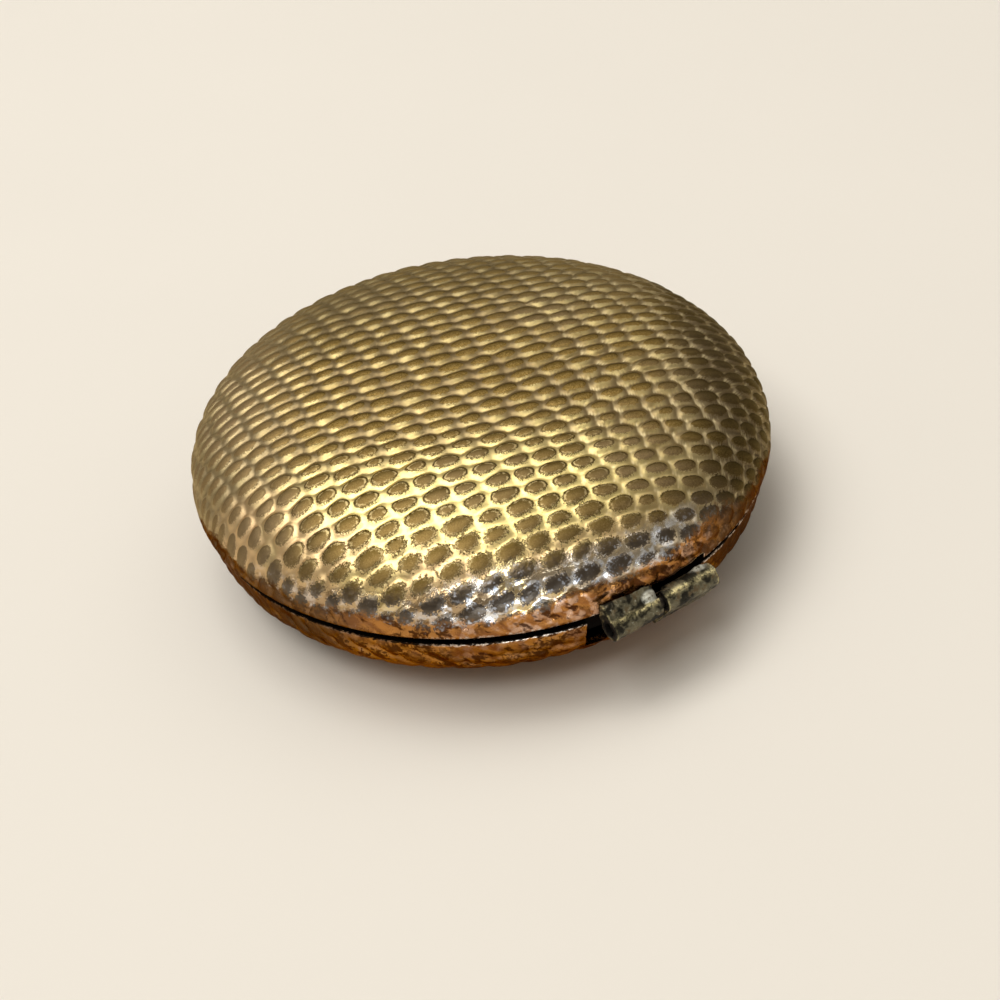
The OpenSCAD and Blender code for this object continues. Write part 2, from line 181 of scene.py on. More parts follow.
# %% Helpers for finishes
class Finish:
    """A material with its shader, and short calls that add nodes to it. Below it is called f."""

    def __init__(self, name, **constants):
        self.material = bpy.data.materials.new(name)
        self.material.use_nodes = True
        self.tree = self.material.node_tree
        self.shader = self.tree.nodes["Principled BSDF"]
        self.place = self.tree.nodes.new("ShaderNodeTexCoord").outputs["Object"]
        self.finish(**constants)

    def put(self, socket, value):
        """Links a node's output, or sets a plain value, at an input."""
        if isinstance(value, bpy.types.NodeSocket):
            self.tree.links.new(value, socket)
        else:
            socket.default_value = value

    def finish(self, **sockets):
        """Sets inputs of the shader, by their names with underlines."""
        for name, value in sockets.items():
            self.put(self.shader.inputs[name.replace("_", " ")], value)
        return self.material

    def stored(self, name):
        """A value that was stored on the mesh."""
        node = self.tree.nodes.new("ShaderNodeAttribute")
        node.attribute_name = name
        return node.outputs["Fac"]

    def stretched(self, x, y, z, tilt=0.0, turn=0.0):
        """Object coordinates for marks x, y, z times as long as usual along axes that are turned."""
        node = self.tree.nodes.new("ShaderNodeMapping")
        node.vector_type = "TEXTURE"
        self.put(node.inputs["Vector"], self.place)
        node.inputs["Scale"].default_value = (x, y, z)
        node.inputs["Rotation"].default_value = (0, math.radians(tilt), math.radians(turn))
        return node.outputs["Vector"]

    def around_axis(self):
        """The distance from the case's upright axis, and the height."""
        parts = self.tree.nodes.new("ShaderNodeSeparateXYZ")
        self.put(parts.inputs[0], self.place)
        squares = [self.math("POWER", parts.outputs[axis], 2.0) for axis in "XY"]
        return self.math("SQRT", self.add(*squares)), parts.outputs["Z"]

    def noise(self, size, detail=3.0, roughness=0.55, vector=None):
        """Cloudy noise whose blotches are about size millimetres wide."""
        node = self.tree.nodes.new("ShaderNodeTexNoise")
        self.put(node.inputs["Vector"], vector or self.place)
        node.inputs["Scale"].default_value = 1 / (size * MM)
        node.inputs["Detail"].default_value = detail
        node.inputs["Roughness"].default_value = roughness
        return node.outputs["Fac"]

    def math(self, operation, *values):
        node = self.tree.nodes.new("ShaderNodeMath")
        node.operation = operation
        for socket, value in zip(node.inputs, values):
            self.put(socket, value)
        return node.outputs["Value"]

    def times(self, first, *others):
        """All the values multiplied, so a mask keeps only what all of them keep."""
        for other in others:
            first = self.math("MULTIPLY", first, other)
        return first

    def most(self, a, b):
        return self.math("MAXIMUM", a, b)

    def apart(self, a, b):
        return self.math("ABSOLUTE", self.math("SUBTRACT", a, b))

    def add(self, value, other, share=None):
        """The value plus the other, or plus that share of it."""
        if share is None:
            return self.math("ADD", value, other)
        return self.math("MULTIPLY_ADD", other, share, value)

    def around_half(self, noise):
        """Noise that goes below and above 0."""
        return self.math("SUBTRACT", noise, 0.5)

    def wavering(self, value, noise, reach):
        """The value, moved up and down by noise."""
        return self.add(value, self.around_half(noise), reach)

    def step(self, value, low, high, a=0.0, b=1.0):
        """A smooth change from a to b while value goes from low to high."""
        node = self.tree.nodes.new("ShaderNodeMapRange")
        node.interpolation_type = "SMOOTHSTEP"
        names = ("Value", "From Min", "From Max", "To Min", "To Max")
        for name, given in zip(names, (value, low, high, a, b)):
            self.put(node.inputs[name], given)
        return node.outputs["Result"]

    def blend(self, share, a, b):
        """Colours a and b mixed by share."""
        node = self.tree.nodes.new("ShaderNodeMix")
        node.data_type = "RGBA"
        self.put(node.inputs["Factor"], share)
        for name, value in (("A", a), ("B", b)):
            socket = [s for s in node.inputs if s.name == name and s.type == "RGBA"][0]
            self.put(socket, (*value, 1.0) if isinstance(value, tuple) else value)
        return [s for s in node.outputs if s.type == "RGBA"][0]

    def coated(self, colour, *coats):
        """A colour under further coats, each given by its share and its own colour."""
        for share, coat in coats:
            colour = self.blend(share, colour, coat)
        return colour

    def bump(self, height, depth):
        """A bump of depth millimetres."""
        node = self.tree.nodes.new("ShaderNodeBump")
        self.put(node.inputs["Height"], height)
        node.inputs["Distance"].default_value = depth * MM
        return node.outputs["Normal"]


print("finish helpers ready")


# %% Helpers for pieces
def only(piece):
    """Selects this piece alone and makes it the active one."""
    bpy.ops.object.select_all(action="DESELECT")
    piece.select_set(True)
    bpy.context.view_layer.objects.active = piece
    return piece


def modified(piece, kind, **settings):
    """Adds a modifier and applies it."""
    only(piece)
    modifier = piece.modifiers.new(kind.lower(), kind)
    for name, value in settings.items():
        setattr(modifier, name, value)
    bpy.ops.object.modifier_apply(modifier=modifier.name)
    return piece


def block(centre, size, tilt=0.0):
    """A box in millimetres, tilted about the X axis."""
    bpy.ops.object.select_all(action="DESELECT")
    bpy.ops.mesh.primitive_cube_add(size=1, location=[c * MM for c in centre],
                                    scale=[c * MM for c in size], rotation=(math.radians(tilt), 0, 0))
    bpy.ops.object.transform_apply(location=True, rotation=True, scale=True)
    return bpy.context.object


def cut_with(piece, cutter):
    """Takes the cutter's volume out of the piece and throws the cutter away."""
    modified(piece, "BOOLEAN", operation="DIFFERENCE", object=cutter, solver="EXACT")
    bpy.data.objects.remove(cutter)
    return piece


def points_of(piece):
    """The piece's vertices in millimetres, as an array."""
    flat = np.zeros(len(piece.data.vertices) * 3)
    piece.data.vertices.foreach_get("co", flat)
    return flat.reshape(-1, 3) / MM


def move_points(piece, points):
    piece.data.vertices.foreach_set("co", (points * MM).ravel())
    piece.data.update()


def store(piece, name, values):
    """Keeps one value per vertex on the mesh, for the finish to read."""
    layer = piece.data.attributes.get(name) or piece.data.attributes.new(name, "FLOAT", "POINT")
    layer.data.foreach_set("value", np.asarray(values, np.float32))


print("piece helpers ready")


# %% Helpers for copies and for settling
def rounded_copy(node, width):
    """A copy of a CAD node with its loose triangles merged and its edges rounded."""
    source = frame["nodes"][node]
    piece = source.copy()
    piece.data = source.data.copy()
    piece.parent = None
    for key in [k for k in piece.keys() if k.startswith("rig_")]:
        del piece[key]
    bpy.context.scene.collection.objects.link(piece)
    only(piece)
    bpy.ops.object.mode_set(mode="EDIT")
    bpy.ops.mesh.select_all(action="SELECT")
    bpy.ops.mesh.remove_doubles(threshold=0.002 * MM)
    bpy.ops.mesh.dissolve_limited(angle_limit=math.radians(0.5))
    bpy.ops.object.mode_set(mode="OBJECT")
    modified(piece, "BEVEL", width=width * MM, segments=2, limit_method="ANGLE",
             angle_limit=math.radians(35), use_clamp_overlap=True)
    bpy.ops.object.shade_smooth_by_angle(angle=math.radians(35))
    return piece


def settle(piece, name, body, material, node):
    """Names a finished piece, gives it its finish and ties it to its body."""
    piece.name = name
    piece.data.name = name
    piece.data.materials.clear()
    piece.data.materials.append(material)
    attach(piece, body)
    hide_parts(node)
    print(name, len(piece.data.polygons), "faces")
    return piece


print("copy helpers ready")

# %% [markdown]
# The shells are solids of revolution, but a plain lathe would crowd its faces at the crown and
# leave long slivers at the rim. So each shell starts as a square grid, like the flat sheet that
# the press gets. The grid is laid onto a disc, and each of its rings is laid onto one point of
# the shell's outline: out from the crown, round the folded edge and back up inside. The faces
# stay nearly square, and the emboss has even detail everywhere. The outlines come first, with
# their radii and heights read from the engineering shells.

# %% Outlines of the shells
lid_low, lid_high = (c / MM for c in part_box("lid_shell"))
base_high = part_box("base_shell")[1] / MM
lid_r = lid_high.x
lid_crown_z = lid_high.z
lid_edge_z = lid_low.z
base_r = base_high.x
base_edge_z = base_high.z
seam_z = (lid_edge_z + base_edge_z) / 2
lid_bulge_z = seam_z + 1
lid_draw_in = 0.45
foot_r = 16.0
wall = 0.6
edge_round = 0.22
fold_depth = 3
# How square each half is, across and up, where 2 is a plain ellipse
lid_curve = (3, 2.4)
base_curve = (2, 3)


def dome(low_r, edge_r, low_z, top_z, curve):
    """A quarter outline from the crown or foot to the edge, as many (radius, height) points."""
    across, up = curve
    t = np.linspace(math.pi / 2, 0, 3000)
    radius = low_r + (edge_r - low_r) * np.clip(np.cos(t), 0, 1) ** (2 / across)
    height = low_z + (top_z - low_z) * np.sin(t) ** (2 / up)
    radius[0] = low_r
    return np.stack([radius, height], 1)


def evenly(outline, count):
    """count + 1 points at even steps along an outline, and their distance from its start."""
    steps = np.hypot(*np.diff(outline, axis=0).T)
    along = np.concatenate([[0], np.cumsum(steps)])
    wanted = np.linspace(0, along[-1], count + 1)
    return np.stack([np.interp(wanted, along, outline[:, k]) for k in (0, 1)], 1), wanted


def folded_edge(edge_r, edge_z, start, hem, up):
    """The edge folded inwards and on up or down (up is 1 or -1), as (radius, height) points."""
    hem_r = edge_r - hem
    return [
        (edge_r - start[0], edge_z + up * start[1]),
        (edge_r - edge_round, edge_z),
        (hem_r + edge_round, edge_z),
        (hem_r + 0.05, edge_z + up * 0.06),
        (hem_r, edge_z + up * edge_round),
        (hem_r, edge_z + up * fold_depth),
    ]


lid_edge_r = lid_r - lid_draw_in
lid_outline = np.vstack([
    dome(0, lid_r, lid_bulge_z, lid_crown_z, lid_curve),
    [[lid_edge_r + 0.03, lid_edge_z + edge_round]],
])
lid_inside = dome(0, lid_r - wall, lid_bulge_z, lid_crown_z - wall, lid_curve)
lid_fold = folded_edge(lid_edge_r, lid_edge_z, start=(0.05, 0.06), hem=0.65, up=1)
base_outline = np.vstack([
    [[0, 0]],
    dome(foot_r, base_r, base_edge_z, 0, base_curve)[:-1],
])
base_inside = dome(foot_r, base_r - wall, base_edge_z, wall, base_curve)
base_fold = folded_edge(base_r, base_edge_z, start=(0.06, 0.05), hem=0.85, up=-1)
print("lid radius", lid_r, "crown", lid_crown_z, "base radius", base_r)

# %% [markdown]
# The grain is a lattice of convex scales, about 3 mm long and 2 mm wide, in rows that run across
# the viewer's way and climb a little to the right. Each row is shifted by a third of a scale,
# and no two scales are quite alike. A picture texture would slide over the dome, and bump alone
# would leave the outline smooth. So each vertex finds its nearest scale and its distance from
# that scale's border, and the sheet is really pressed in between the scales. On the flat sheet
# u runs to the viewer's right and v away from them.

# %% The lizard grain
scale_long = 3.0
row_step = 1.95
row_shift = 0.9
stretch = scale_long / 2
climb = 0.0042
climb_left = 0.013
# How far a scale may stray from its place in the lattice, and how much larger it may be
stray_x = 0.62
stray_y = 0.32
uneven = 0.55
# The rows run level as the camera sees them
grain_turn = math.radians(151)


def random_of(i, j, salt):
    """A repeatable random number from 0 to 1 for each scale."""
    value = np.sin(i * 127.1 + j * 311.7 + salt * 74.7) * 43758.5453
    return value - np.floor(value)


def eased(value, low, high):
    """A smooth change from 0 to 1 while value goes from low to high."""
    t = np.clip((value - low) / (high - low), 0, 1)
    return t * t * (3 - 2 * t)


def bent_rows(u, v, salt):
    """Place along a row and across the rows, which climb, waver and widen towards the hinge."""
    steeper = 1 + 0.5 * eased(-v, 12, 30)
    v = np.where(v < -16, -16 + (v + 16) * 0.88, v)
    y = v - 0.5 * climb * steeper * (u + 25) ** 2 + 0.5 * climb_left * np.minimum(u + 7, 0) ** 2
    y = y + 0.25 * np.sin(u / 7.3 + salt) + 0.2 * np.sin(v / 5.1 + u / 11 + salt)
    return u / stretch + 0.15 * np.sin(v / 4.3 + salt), y


def scales_nearby(x, y, salt):
    """The fifteen scales that may hold or border each point. Power is the squared distance from
    a scale's middle, less for a larger scale."""
    near_row = np.round(y / row_step)
    found = []
    for row in (near_row - 1, near_row, near_row + 1):
        start = -row_shift / stretch * row
        near_column = np.round((x - start) / 2)
        for side in (-2, -1, 0, 1, 2):
            column = near_column + side
            chance = [random_of(column, row, salt + k) for k in range(4)]
            middle_x = start + 2 * column + stray_x * (chance[0] - 0.5)
            middle_y = row_step * row + stray_y * (chance[1] - 0.5)
            power = (x - middle_x) ** 2 + (y - middle_y) ** 2 - uneven * (chance[2] - 0.5)
            found.append(dict(x=middle_x, y=middle_y, power=power, tint=chance[3], row=row))
    return found


def grain(u, v, salt):
    """For points of the flat sheet: how far the next row and the next scale of the own row are,
    a rounder distance from the scale's border, the two offsets within it and its random tint."""
    x, y = bent_rows(u, v, salt)
    found = scales_nearby(x, y, salt)
    lowest = np.min([scale["power"] for scale in found], axis=0)
    own = {key: np.zeros(u.shape) for key in found[0]}
    for scale in found:
        mine = scale["power"] <= lowest
        for key, value in scale.items():
            own[key] = np.where(mine, value, own[key])
    crowd = {key: np.zeros(u.shape) for key in ("rows", "necks", "round")}
    for scale in found:
        apart = np.hypot(scale["x"] - own["x"], scale["y"] - own["y"])
        border = (scale["power"] - own["power"]) / (2 * np.maximum(apart, 1e-6))
        other = apart > 1e-6
        same_row = scale["row"] == own["row"]
        crowd["necks"] += np.where(other & same_row, np.exp(-8 * border), 0)
        crowd["rows"] += np.where(same_row, 0, np.exp(-8 * border))
        crowd["round"] += np.where(other, np.exp(-4 * border), 0)
    # This turns each sum back into the distance from the nearest border, rounded where two meet
    away = {key: -np.log(np.maximum(value, 1e-9)) / 8 for key, value in crowd.items()}
    away["round"] *= 2
    away["side"] = y - own["y"]
    away["across"] = x - own["x"]
    away["tint"] = own["tint"]
    return away


print("grain of", scale_long, "by", row_step, "mm")

# %% [markdown]
# The die makes each scale a soft cushion, with a deep groove between two rows and a shallower neck
# between two scales of one row. Sculpting would do for one, but some six hundred on each shell want a
# formula. Handling then rubs the cushions, so the place of each vertex on its scale is kept as well,
# for the finish to read. The finish also uses it to paint shade and highlights on each scale.


# %% Depth, wear and painted light of the scales
def near_share(v):
    """1 on the near slope of the dome, where the emboss is shallower and rubbed flatter."""
    return eased(-v, 12, 22)


def pressed_depth(cell, u):
    """How far the sheet is pressed in, from 0 on top of a scale to 1 in the deepest hollow."""
    width = np.where(cell["side"] > 0, 0.5, 0.62)
    ridge = 1 - (1 - np.clip(cell["rows"] / width, 0, 1)) ** 2
    # On the right the necks are deeper and narrower
    neck_depth = 0.58 + 0.17 * eased(u, 4, 18)
    neck_width = 0.78 - 0.28 * eased(u, 4, 18)
    neck = 1 - neck_depth * (1 - np.clip(cell["necks"] / neck_width, 0, 1)) ** 2
    top = 0.8 + 0.12 * cell["tint"] + 0.08 * eased(cell["round"], 0.2, 0.6)
    return 1 - ridge * neck * top


def mean_depth(u, v, salt):
    """The mean of nine places round each vertex, so that no hollow falls between two vertices."""
    depth = np.zeros(u.shape)
    for du in (-0.1, 0, 0.1):
        for dv in (-0.1, 0, 0.1):
            depth += pressed_depth(grain(u + du, v + dv, salt), u) / 9
    return depth


def scale_wear_and_light(cell, u, v):
    """How each vertex lies on its scale, for the finish."""
    front = near_share(v)
    near = eased(-cell["side"], -0.1, 0.6)
    # The far side of each scale, where the finish paints shade
    far = eased(cell["side"], -0.1, 0.65)
    # The patina lies all over the top of a scale, less far down its near flank
    grow = 0.16 * (0.5 - cell["tint"]) + 0.07 * eased(u, 0, 12) + 0.06 * eased(u, 13, 23)
    patch = cell["round"] - 0.11 - 0.15 * near + grow + 0.04 * front
    # Away from the near rim a patch is a lens: arched at the far side, with pointed ends
    arch = 0.74 * (1 - ((cell["across"] - 0.15) / 1.02) ** 2) - cell["side"]
    sole = 0.58 * (1 - (cell["across"] / 1.02) ** 4) + cell["side"]
    lens = 0.8 * np.minimum(arch, sole) + grow
    patch = np.where(lens < patch, patch + (lens - patch) * (1 - front), patch)
    ragged = np.maximum(near, 0.75 * eased(-v, 20, 26))
    # Painted shade: the far flank of each scale and its ends are marked to be painted darker; only the
    # near flank keeps the bright gilding
    end_shade = 1 - eased(cell["necks"] + 0.14 * eased(u, 4, 18), 0.2, 0.95)
    dull = np.maximum(eased(cell["side"], 0.0, 0.35), end_shade) * (1 - 0.9 * front)
    # Painted highlight: the corner of a scale that is nearest to the viewer's left is marked for it
    corner = eased(-cell["round"], -0.03, 0.14) * eased(-cell["across"], 0.25, 0.75)
    return dict(patch=patch, ragged=ragged, dull=dull, rows=cell["rows"], far=far, corner=corner)


print("depth and wear ready")

# %% [markdown]
# Now the sheet is pressed: each vertex of the grid is laid onto the outline and sunk along the
# way inwards. The relief fades out just before the folded edge, where the real sheet is flat.
# The mesh is closed, because the export and anyone who prints it want a solid piece.


# %% Press a shell from the sheet
def laid_grid(count):
    """A square grid, with each vertex's ring round the middle and its turn on the disc."""
    bpy.ops.mesh.primitive_grid_add(x_subdivisions=2 * count, y_subdivisions=2 * count, size=2)
    shell = bpy.context.object
    flat = points_of(shell) * MM
    x, y = flat[:, 0], flat[:, 1]
    ring = np.round(np.maximum(abs(x), abs(y)) * count).astype(int)
    wide = abs(x) >= abs(y)
    with np.errstate(divide="ignore", invalid="ignore"):
        turn = np.where(wide, math.pi / 4 * y / x + np.where(x < 0, math.pi, 0),
                        math.pi / 2 * np.sign(y) - math.pi / 4 * x / y)
    return shell, ring, np.where(ring == 0, 0, turn)


def outward(path, climbs):
    """The outward direction at each point of a path, as its radial and its upward part."""
    slope = np.gradient(path, axis=0)
    slope /= np.maximum(np.hypot(*slope.T), 1e-9)[:, None]
    if climbs:
        return slope[:, 1], -slope[:, 0]
    return -slope[:, 1], slope[:, 0]


def closed(shell):
    """Fills the hole inside and turns all faces outwards."""
    only(shell)
    bpy.ops.object.mode_set(mode="EDIT")
    bpy.ops.mesh.select_mode(type="EDGE")
    bpy.ops.mesh.select_all(action="DESELECT")
    bpy.ops.mesh.select_non_manifold()
    bpy.ops.mesh.edge_face_add()
    bpy.ops.mesh.select_all(action="SELECT")
    bpy.ops.mesh.normals_make_consistent(inside=False)
    bpy.ops.object.mode_set(mode="OBJECT")
    bpy.ops.object.shade_smooth()
    return shell


emboss_depth = 0.4
inner_hole_r = 8
inner_rings = 7


def pressed_shell(name, outline, fold, inside, rings, salt):
    """A closed shell: an embossed outside, a folded edge and a plain inside."""
    outer, along = evenly(outline, rings)
    back = inside[inside[:, 0] < fold[-1][0] - 0.1][::-1]
    inner, _ = evenly(back[back[:, 0] > inner_hole_r], inner_rings)
    path = np.vstack([outer, fold, inner])
    shell, ring, turn = laid_grid(len(path) - 1)
    outside = ring <= rings
    # The flat sheet is turned, so that the rows of scales run as the camera sees them
    reach = np.where(outside, along[np.minimum(ring, rings)], along[-1])
    u = reach * np.cos(turn - grain_turn)
    v = reach * np.sin(turn - grain_turn)
    sink = mean_depth(u, v, salt) * emboss_depth * (1 - 0.3 * near_share(v))
    sink = sink * outside * eased(rings - ring, 1, 6)
    out_r, out_z = outward(path, climbs=outline[0, 1] < outline[-1, 1])
    radius = path[ring, 0] - sink * out_r[ring]
    height = path[ring, 1] - sink * out_z[ring]
    move_points(shell, np.stack([radius * np.cos(turn), radius * np.sin(turn), height], 1))
    for key, value in scale_wear_and_light(grain(u, v, salt), u, v).items():
        store(shell, "scale_" + key, np.where(outside, value, 0))
    store(shell, "behind_edge", np.maximum(ring - rings, 0))
    store(shell, "from_edge", np.where(outside, along[-1] - reach, 0))
    store(shell, "sheet_u", u)
    store(shell, "sheet_v", v)
    closed(shell).name = name
    print(name, len(shell.data.polygons), "faces")
    return shell


lid_skin = pressed_shell("lid_skin", lid_outline, lid_fold, lid_inside, rings=134, salt=3)
base_skin = pressed_shell("base_skin", base_outline, base_fold, base_inside, rings=116, salt=11)

# %% [markdown]
# The two edges are notched for the hinge, and the base also for the thumb piece. The notches
# were filed after pressing, so they are cut here after the emboss too, with box cutters. The
# vertices left in a notch are counted, because a cut that fails leaves them all.

# %% File the notches
base_leaf_low, base_leaf_high = (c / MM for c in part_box("hinge_base_leaf"))
lid_leaf_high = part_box("hinge_lid_leaf")[1] / MM
thumb_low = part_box("thumb_piece")[0] / MM
hinge_side = (28, 36)
thumb_side = (-36, -29)
leaf_play = 0.2
slot_end_x = 0.75
slot_top_z = seam_z + 1.55
slot_play = 0.8
thumb_half = 4.3
above_seam_z = seam_z + 2


def filed_notch(shell, low, high):
    """Cuts a box, given by two corners in millimetres, out of a shell."""
    cut_with(shell, block([(a + b) / 2 for a, b in zip(low, high)], [b - a for a, b in zip(low, high)]))
    at = points_of(shell)
    left_in = ((at > np.array(low) + 0.15) & (at < np.array(high) - 0.15)).all(axis=1).sum()
    print(shell.name, "after its notch", len(shell.data.polygons), "faces, left in it", left_in)


filed_notch(lid_skin, (base_leaf_low.x - leaf_play, hinge_side[0], seam_z - 2),
            (slot_end_x, hinge_side[1], slot_top_z))
filed_notch(base_skin, (base_leaf_high.x + leaf_play, hinge_side[0], seam_z - 4),
            (lid_leaf_high.x + slot_play, hinge_side[1], above_seam_z))
filed_notch(base_skin, (-thumb_half, thumb_side[0], thumb_low.z - 0.3),
            (thumb_half, thumb_side[1], above_seam_z))

# %% [markdown]
# The shells are worn unevenly, and painted light lies on them as well. The near slope has a painted
# pool of light, where the gilding is painted much brighter. The left, the right and the back are
# painted duller and darker, as painted shade where the dome turns from the lamps, each in its own tone.
# Along the edge, and widest at the hinge, the gilding has worn to the copper under it, whose orange is
# partly a painted reflection of a warm wooden table. The near rim, which is handled most, has worn to a
# warm grey with painted silvery glints. Painting such zones would need a picture, so they are masks
# from the sheet's u and v and from the distance to the edge, with noise along their borders.


# %% Zones of wear and of painted light
def wear_and_light_zones(f, copper_reach):
    """The noises and masks that the layers of a shell's finish share, called z below."""
    z = SimpleNamespace()
    z.u = f.stored("sheet_u")
    z.v = f.stored("sheet_v")
    z.from_edge = f.stored("from_edge")
    z.fine = f.noise(0.15, 4, 0.7)
    z.speck = f.noise(0.4, 3, 0.6)
    z.blot = f.noise(1.1, 2, 0.5)
    z.cloud = f.noise(5, 3, 0.5)
    z.wide_cloud = f.noise(14, 2, 0.5)
    # The back, the right and the left mark painted shade, and the pool marks a painted pool of light
    z.back = f.step(z.v, 0, 20)
    z.right = f.step(z.u, 17, 27)
    z.left = f.step(z.u, -15, -27)
    z.sides = f.most(f.step(z.u, -12, -22), f.most(f.step(z.u, 20, 27), f.step(z.v, 2, 18)))
    z.pool = f.times(f.step(z.v, -8.5, -17.5), f.times(f.step(z.u, 18, 8), f.step(z.u, -28, -17)))
    # The rims are counted from the edge, with a wavering border, and are wider at the near side
    z.rim = f.wavering(f.wavering(z.from_edge, z.cloud, 3.4), z.speck, 2.6)
    z.rim = f.add(z.rim, f.step(z.v, -16, -6, 0, 2.4))
    # Near the hinge the copper reaches further in; its orange there is partly a painted reflection of a
    # warm wooden table
    at_hinge = f.times(f.step(f.apart(z.u, 16), 13, 7), f.step(z.v, -12, -20))
    z.copper = f.step(f.add(z.rim, at_hinge, -1.5), copper_reach + 0.6, copper_reach - 0.6)
    bare_rim = f.add(z.rim, f.step(z.u, 0, -12, 0, 2.6))
    z.bare = f.times(f.step(z.v, -20, -27), f.step(bare_rim, 8.2, 5.8))
    return z


def patina_reach(f, z):
    """How far inside its patch each point lies: ragged towards the viewer, clean at the far side."""
    ragged = f.add(f.stored("scale_ragged"), 0.14)
    rag = f.times(f.around_half(z.fine), ragged)
    torn = f.times(f.around_half(z.speck), f.step(z.v, -23, -27.5))
    level = f.add(f.stored("scale_patch"), f.add(rag, torn, 1.1))
    # On the right the patches are smaller
    smaller = f.times(f.step(z.u, 4, 16), f.step(z.u, 25, 20), f.step(z.v, 24, 8))
    return f.add(level, smaller, -0.14)


print("wear zones ready")

# %% [markdown]
# The gilding lies in the hollows and on the rubbed flanks. One mixed tone would be simpler, but here
# what dulls it, along with painted shade and painted highlights, is laid over it coat by coat, so that
# each zone keeps its own tone.

# %% The gilding
hollow_gilt = (0.33, 0.245, 0.1)
rubbed_gilt = (0.6, 0.478, 0.215)
# Painted highlight: the gilding in the pool of light on the near slope is painted brighter
pool_highlight_gilt = (0.95, 0.775, 0.32)
reddish_speck = (0.56, 0.37, 0.13)
# Painted shade on the far flanks and the ends of the scales
flank_shade_gilt = (0.235, 0.17, 0.088)
# Painted shade in the grooves between rows
groove_shade_gilt = (0.22, 0.145, 0.075)
# Painted shade on the back, the left and the right of the dome, each in its own tone
back_shade_gilt = (0.225, 0.175, 0.095)
left_shade_gilt = (0.42, 0.33, 0.19)
right_shade_gilt = (0.5, 0.4, 0.23)
far_right_shade_gilt = (0.15, 0.108, 0.06)
# Painted highlight on the near left corner of each scale
corner_highlight_gilt = (0.93, 0.79, 0.46)
rosy_gilt = (0.76, 0.53, 0.29)


def gilding(f, z):
    # Painted shade in the grooves between rows
    groove_shade = f.times(f.step(f.stored("scale_rows"), 0.1, 0, 0, 0.4), f.step(z.v, -18, -8))
    # The gilding thins and turns rosy before it gives out
    thin = f.step(f.add(z.rim, f.step(z.u, 2, -12, 0, -1.6)), 11.5, 7.5, 0, 0.8)
    thin = f.times(thin, f.times(f.step(z.v, -12, -18), f.step(z.u, 20, 10)))
    # Over the gilding go a painted highlight in the pool, painted shade on the far flanks, in the
    # grooves and on the far and side slopes, and a painted highlight on the scales' near corners
    return f.coated(
        f.blend(f.step(f.noise(3.2, 2, 0.5), 0.36, 0.62), hollow_gilt, rubbed_gilt),
        (z.pool, pool_highlight_gilt),
        (f.step(z.speck, 0.54, 0.74, 0, 0.5), reddish_speck),
        (f.times(f.stored("scale_dull"), 0.86), flank_shade_gilt),
        (groove_shade, groove_shade_gilt),
        (f.times(z.back, 0.7), back_shade_gilt),
        (f.times(z.left, 0.65), left_shade_gilt),
        (f.times(z.right, 0.7), right_shade_gilt),
        (f.times(f.step(z.u, 20, 26), 0.85), far_right_shade_gilt),
        (f.times(f.stored("scale_corner"), f.step(z.u, 4, 14, 0, 0.6)), corner_highlight_gilt),
        (f.times(thin, f.step(z.cloud, 0.34, 0.52, 0.3, 1)), rosy_gilt),
    )


print("gilding ready")

# %% [markdown]
# A dull brown patina sits on top of each scale as a lens-shaped patch, with specks of gilding. Its far
# side, and its border there, are painted darker as painted shade; in the pool a darker border goes all
# round the patch. At the near rim the metal between the patches is bare. Both are coats again, over the
# gilding.

# %% The patina and the bare rim
patina_brown = (0.15, 0.091, 0.018)
patina_gold = (0.35, 0.236, 0.078)
patina_grey = (0.22, 0.165, 0.11)
pool_patina = (0.165, 0.11, 0.042)
back_patina = (0.24, 0.178, 0.078)
# Painted shade at the far side of each patch
far_patina_shade = (0.07, 0.044, 0.006)
left_patina = (0.3, 0.215, 0.12)
# Painted shade: the patches on the right are painted darker
right_shade_patina = (0.026, 0.018, 0.008)
# The darker border of the patches: painted shade at their far side, and all round them in the pool
border_and_far_shade = (0.036, 0.025, 0.007)
pale_ring = (0.8, 0.64, 0.32)
rim_patina_dark = (0.075, 0.056, 0.036)
rim_patina_pale = (0.19, 0.16, 0.135)
gilt_speck = (0.6, 0.45, 0.2)
bare_left = (0.48, 0.33, 0.18)
bare_right = (0.58, 0.5, 0.38)
# Painted highlights: white glints on the bare rim and bluish ones on its patches
glint_white = (0.97, 0.98, 1.0)
glint_blue = (0.8, 0.85, 0.96)


def patina_colour(f, z, level, patina):
    far = f.stored("scale_far")
    # Painted shade: each patch is darker at its far side and along its border there; in the pool its
    # darker border goes all round
    border = f.times(patina, f.step(level, 0.18, 0.05))
    outline_and_shade = f.times(f.most(far, f.times(z.pool, 0.8)), f.step(z.left, 0, 1, 0.9, 0.3))
    ring = f.times(f.step(level, 0.1, 0.16), f.step(level, 0.28, 0.19))
    ring = f.times(ring, z.pool, f.step(z.speck, 0.44, 0.56, 0, 0.55))
    return f.coated(
        f.blend(f.step(z.fine, 0.36, 0.62), patina_brown, patina_gold),
        (f.step(z.wide_cloud, 0.45, 0.65, 0, 0.5), patina_grey),
        (f.times(z.pool, 0.65), pool_patina),
        (f.times(z.back, 0.5), back_patina),
        (f.times(far, 0.62), far_patina_shade),
        (f.times(border, outline_and_shade), border_and_far_shade),
        (ring, pale_ring),
        (f.times(z.left, 0.6), left_patina),
        (f.times(z.right, 0.72), right_shade_patina),
        (z.bare, f.blend(z.blot, rim_patina_dark, rim_patina_pale)),
        (f.step(z.fine, 0.62, 0.74, 0, 0.35), gilt_speck),
    )


